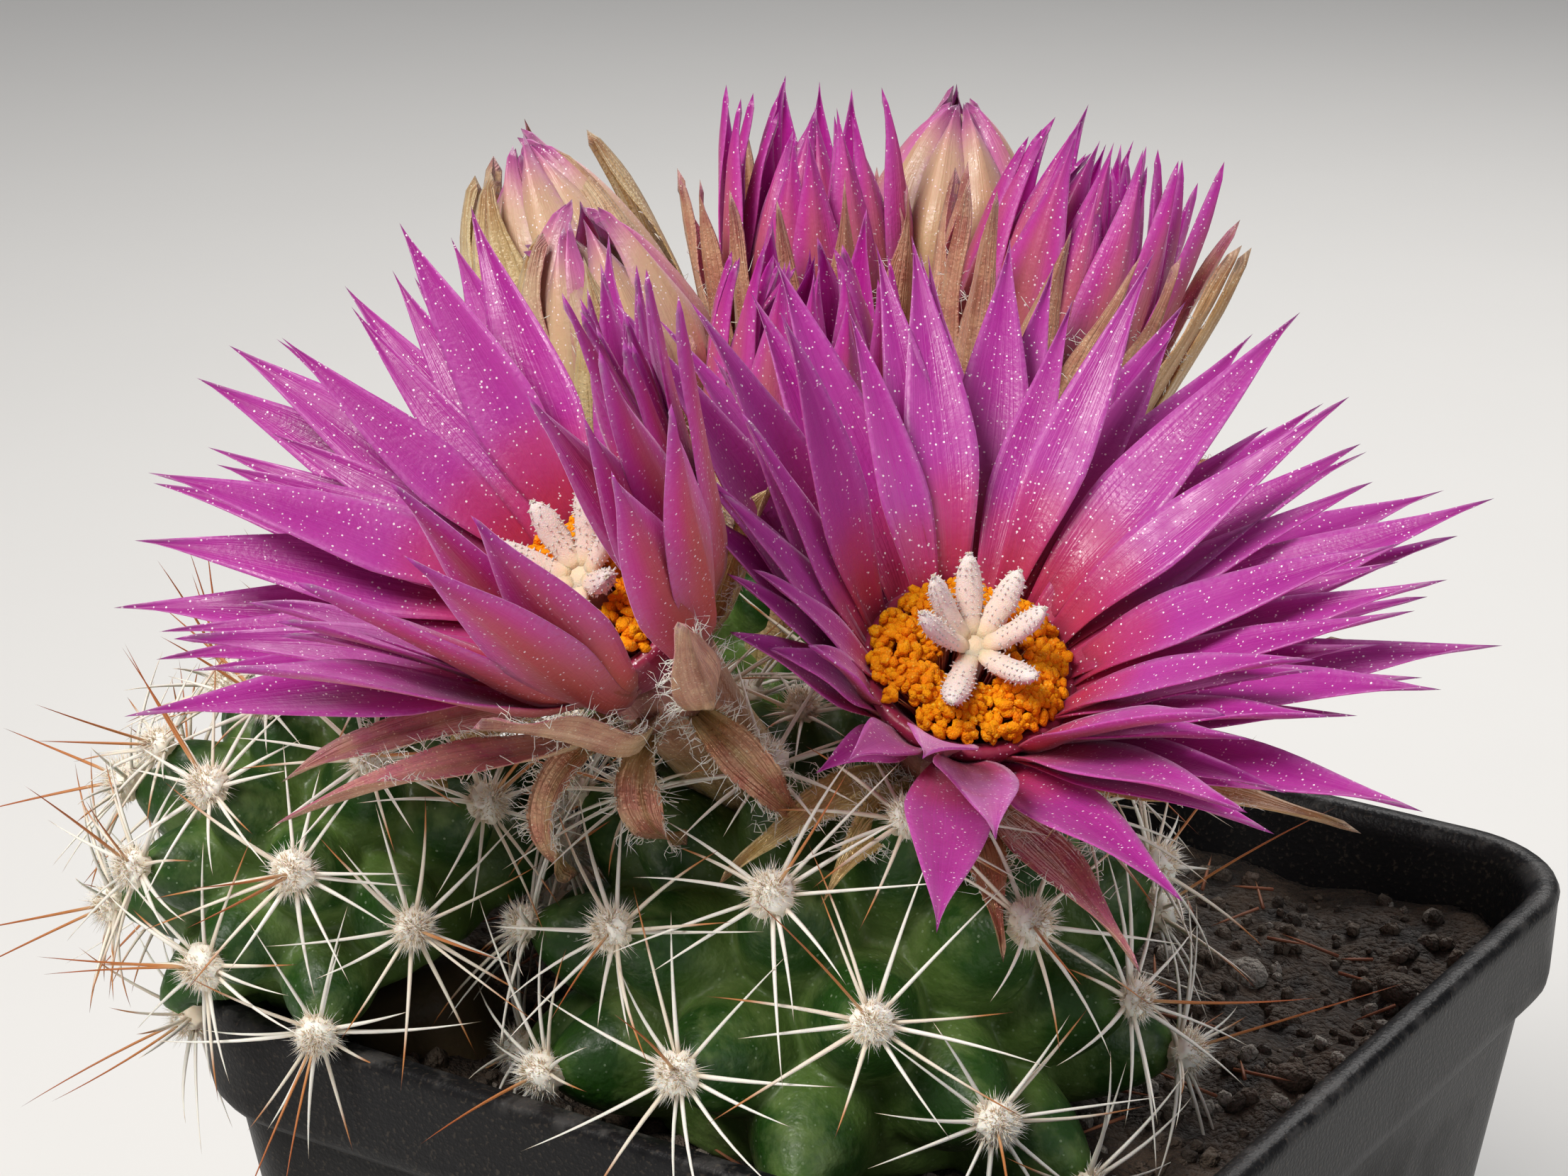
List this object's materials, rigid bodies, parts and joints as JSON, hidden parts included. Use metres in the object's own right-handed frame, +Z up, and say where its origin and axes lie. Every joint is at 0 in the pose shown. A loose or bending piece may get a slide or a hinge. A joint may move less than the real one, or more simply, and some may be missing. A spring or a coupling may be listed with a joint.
{
  "type": "potted cactus",
  "caption": "Clump of spiny globe cactus heads in a square plastic pot, with wide open flowers, half-open flowers and buds on top.",
  "frame": {"origin": "middle of the pot's flat underside", "axes": "+Z up; X and Y along the sides of the square pot; the picture's side is 33 degrees round from -Y towards +X"},
  "size_m": [0.0788, 0.0883, 0.0993],
  "materials": {
    "pot": "matt black, worn on the rim",
    "soil": "gritty potting soil",
    "flesh": "smooth green skin with fine white specks",
    "petal": "satin magenta with a fine sparkle",
    "sepal": "soft tan brown with a fringe of hairs",
    "anther": "powdery orange",
    "stigma": "velvety cream"
  },
  "bodies": {
    "root": {"pot": "pot", "soil": "soil", "head_front": "flesh", "head_left": "flesh", "head_back": "flesh", "flower_right_sepals": "sepal", "flower_right_petals": "petal", "flower_right_stamens": "anther", "flower_right_stigma": "stigma", "flower_left_sepals": "sepal", "flower_left_petals": "petal", "flower_left_stamens": "anther", "flower_left_stigma": "stigma", "flower_mid_sepals": "sepal", "flower_mid_petals": "petal", "flower_mid_stamens": "anther", "flower_rearLeft_sepals": "sepal", "flower_rearLeft_petals": "petal", "flower_rearLeft_stamens": "anther", "flower_rearRight_sepals": "sepal", "flower_rearRight_petals": "petal", "flower_rearRight_stamens": "anther", "flower_rearMiddle_sepals": "sepal", "flower_rearMiddle_petals": "petal", "flower_tallBud_sepals": "sepal", "flower_tallBud_petals": "petal", "flower_smallBud_sepals": "sepal", "flower_smallBud_petals": "petal"}
  },
  "joints": []
}
